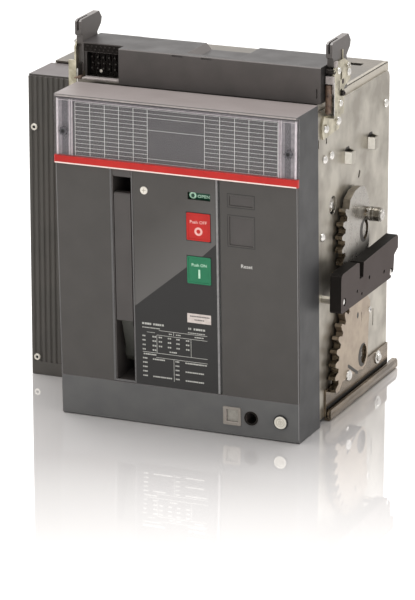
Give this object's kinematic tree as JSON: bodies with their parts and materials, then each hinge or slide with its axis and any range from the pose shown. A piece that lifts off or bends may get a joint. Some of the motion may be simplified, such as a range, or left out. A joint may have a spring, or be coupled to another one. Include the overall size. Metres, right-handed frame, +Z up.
{
  "type": "withdrawable switch disconnector",
  "caption": "Withdrawable air switch disconnector: moulded front with lever, push buttons and windows, ribbed pole cover, steel sides with toothed racking sectors, rear jaw contacts.",
  "frame": {"origin": "on the floor under the centre of the bounding box", "axes": "+X across the poles towards the toothed sectors, +Y from the front cover to the jaws, +Z up"},
  "size_m": [0.412, 0.328, 0.42],
  "materials": {
    "frame_grey": "fine moulded grain",
    "panel_grey": "fine moulded grain, printed",
    "dark_plastic": "fine moulded grain",
    "black_plastic": "satin moulded",
    "housing_plastic": "compression moulded",
    "beige_plastic": "satin",
    "white_plastic": "gloss",
    "red_plastic": "satin",
    "green_plastic": "satin",
    "clear_plastic": "clear polycarbonate",
    "label_grey": "printed sheet",
    "zinc_steel": "zinc plated sheet",
    "yellow_zinc_steel": "yellow chromated",
    "bright_steel": "nickel plated",
    "brown_steel": "brown chromated",
    "spring_steel": "bright wire",
    "cast_alloy": "die cast",
    "silvered_copper": "silver plated copper"
  },
  "bodies": {
    "unit_frame": {"arc_chutes": "zinc_steel", "base_crossmember": "zinc_steel", "blanking_inserts": "dark_plastic", "button_bracket": "zinc_steel", "button_springs": "spring_steel", "cam_block": "black_plastic", "cam_block_spacers": "bright_steel", "control_panel": "panel_grey", "cover_screws": "bright_steel", "crank_bush": "black_plastic", "front_frame": "frame_grey", "guide_brackets": "yellow_zinc_steel", "guide_hooks": "black_plastic", "jaw_cages": "zinc_steel", "key_lock_body": "bright_steel", "label_backing": "label_grey", "label_cover": "clear_plastic", "label_fasteners": "clear_plastic", "left_front_panel": "panel_grey", "left_side_plate": "zinc_steel", "lever_slot_bezel": "dark_plastic", "lower_contact_bars": "silvered_copper", "lower_jaw_fingers": "silvered_copper", "mechanism_frame": "zinc_steel", "panhead_screws": "bright_steel", "plate_fasteners": "bright_steel", "plate_studs": "bright_steel", "pole_housing_front": "housing_plastic", "pole_housing_rear": "housing_plastic", "position_window": "beige_plastic", "racking_gearbox": "cast_alloy", "red_strip": "red_plastic", "retaining_ring": "spring_steel", "ribbed_pole_cover": "frame_grey", "right_front_panel": "panel_grey", "right_side_plate": "zinc_steel", "runners": "brown_steel", "sliding_contact_blocks": "black_plastic", "terminal_box": "dark_plastic", "top_plates": "zinc_steel", "upper_contact_bars": "silvered_copper", "upper_jaw_fingers": "silvered_copper"},
    "lever": {"charging_lever": "dark_plastic"},
    "charging_shaft": {"charging_shaft": "bright_steel", "ratchet_wheel": "bright_steel"},
    "off_button": {"off_button": "red_plastic"},
    "on_button": {"on_button": "green_plastic"},
    "state_drum": {"state_drum": "green_plastic"},
    "position_drum": {"position_drum": "white_plastic"},
    "input_shaft": {"input_shaft": "bright_steel"},
    "key_lock_plug": {"key_lock_plug": "white_plastic"},
    "racking_shaft": {"racking_shaft": "bright_steel", "right_lower_sector": "zinc_steel"},
    "upper_sector": {"right_upper_sector": "zinc_steel"},
    "right_roller": {"right_roller": "bright_steel"},
    "left_roller": {"left_roller": "bright_steel"},
    "main_shaft": {"main_shaft": "bright_steel", "contact_blades": "silvered_copper"}
  },
  "joints": [
    {"name": "charging_lever_pull", "type": "hinge", "parent": "unit_frame", "child": "lever", "pos_m": [0, -0.12283, 0.07312], "axis": [1, 0, 0], "range_deg": [0, 75], "stiffness_Nm_per_rad": 0.4, "springref_deg": -20.05},
    {"name": "charging_shaft_turn", "type": "hinge", "parent": "unit_frame", "child": "charging_shaft", "pos_m": [0, -0.12283, 0.07312], "axis": [1, 0, 0], "continuous": true},
    {"name": "off_button_press", "type": "slide", "parent": "unit_frame", "child": "off_button", "axis": [0, 0.9992, 0.0391], "range_m": [0, 0.004], "stiffness_N_per_m": 350, "springref_m": -0.002, "deforming": ["button_springs"]},
    {"name": "on_button_press", "type": "slide", "parent": "unit_frame", "child": "on_button", "axis": [0, 0.9992, 0.0391], "range_m": [0, 0.004], "stiffness_N_per_m": 350, "springref_m": -0.002, "deforming": ["button_springs"]},
    {"name": "state_drum_turn", "type": "hinge", "parent": "unit_frame", "child": "state_drum", "pos_m": [0, -0.14694, 0.26212], "axis": [1, 0, 0], "range_deg": [0, 70]},
    {"name": "position_drum_turn", "type": "hinge", "parent": "unit_frame", "child": "position_drum", "pos_m": [0, -0.13856, 0.02226], "axis": [1, 0, 0], "range_deg": [0, 76]},
    {"name": "input_shaft_turn", "type": "hinge", "parent": "unit_frame", "child": "input_shaft", "pos_m": [0.128, -0.084, 0.0218], "axis": [0, 1, 0], "range_deg": [0, 1520]},
    {"name": "key_turn", "type": "hinge", "parent": "unit_frame", "child": "key_lock_plug", "pos_m": [0.162, -0.15085, 0.02178], "axis": [0, 0.9992, 0.0391], "range_deg": [0, 90]},
    {"name": "racking_turn", "type": "hinge", "parent": "unit_frame", "child": "racking_shaft", "pos_m": [0, 0.0225, 0.04975], "axis": [-1, 0, 0], "range_deg": [0, 76]},
    {"name": "upper_sector_turn", "type": "hinge", "parent": "unit_frame", "child": "upper_sector", "pos_m": [0, 0.0225, 0.1915], "axis": [1, 0, 0], "range_deg": [0, 95]},
    {"name": "right_roller_turn", "type": "hinge", "parent": "upper_sector", "child": "right_roller", "pos_m": [0, 0.03002, 0.2084], "axis": [1, 0, 0], "continuous": true},
    {"name": "left_roller_turn", "type": "hinge", "parent": "unit_frame", "child": "left_roller", "pos_m": [0, 0.03002, 0.2084], "axis": [1, 0, 0], "continuous": true},
    {"name": "main_shaft_turn", "type": "hinge", "parent": "unit_frame", "child": "main_shaft", "pos_m": [0, 0.043, 0.122], "axis": [-1, 0, 0], "range_deg": [0, 35]}
  ],
  "couplings": [
    {"joint": "state_drum_turn", "follows": "main_shaft_turn", "ratio": 2},
    {"joint": "position_drum_turn", "follows": "racking_turn", "ratio": 1},
    {"joint": "input_shaft_turn", "follows": "racking_turn", "ratio": 20},
    {"joint": "upper_sector_turn", "follows": "racking_turn", "ratio": 1.25}
  ]
}
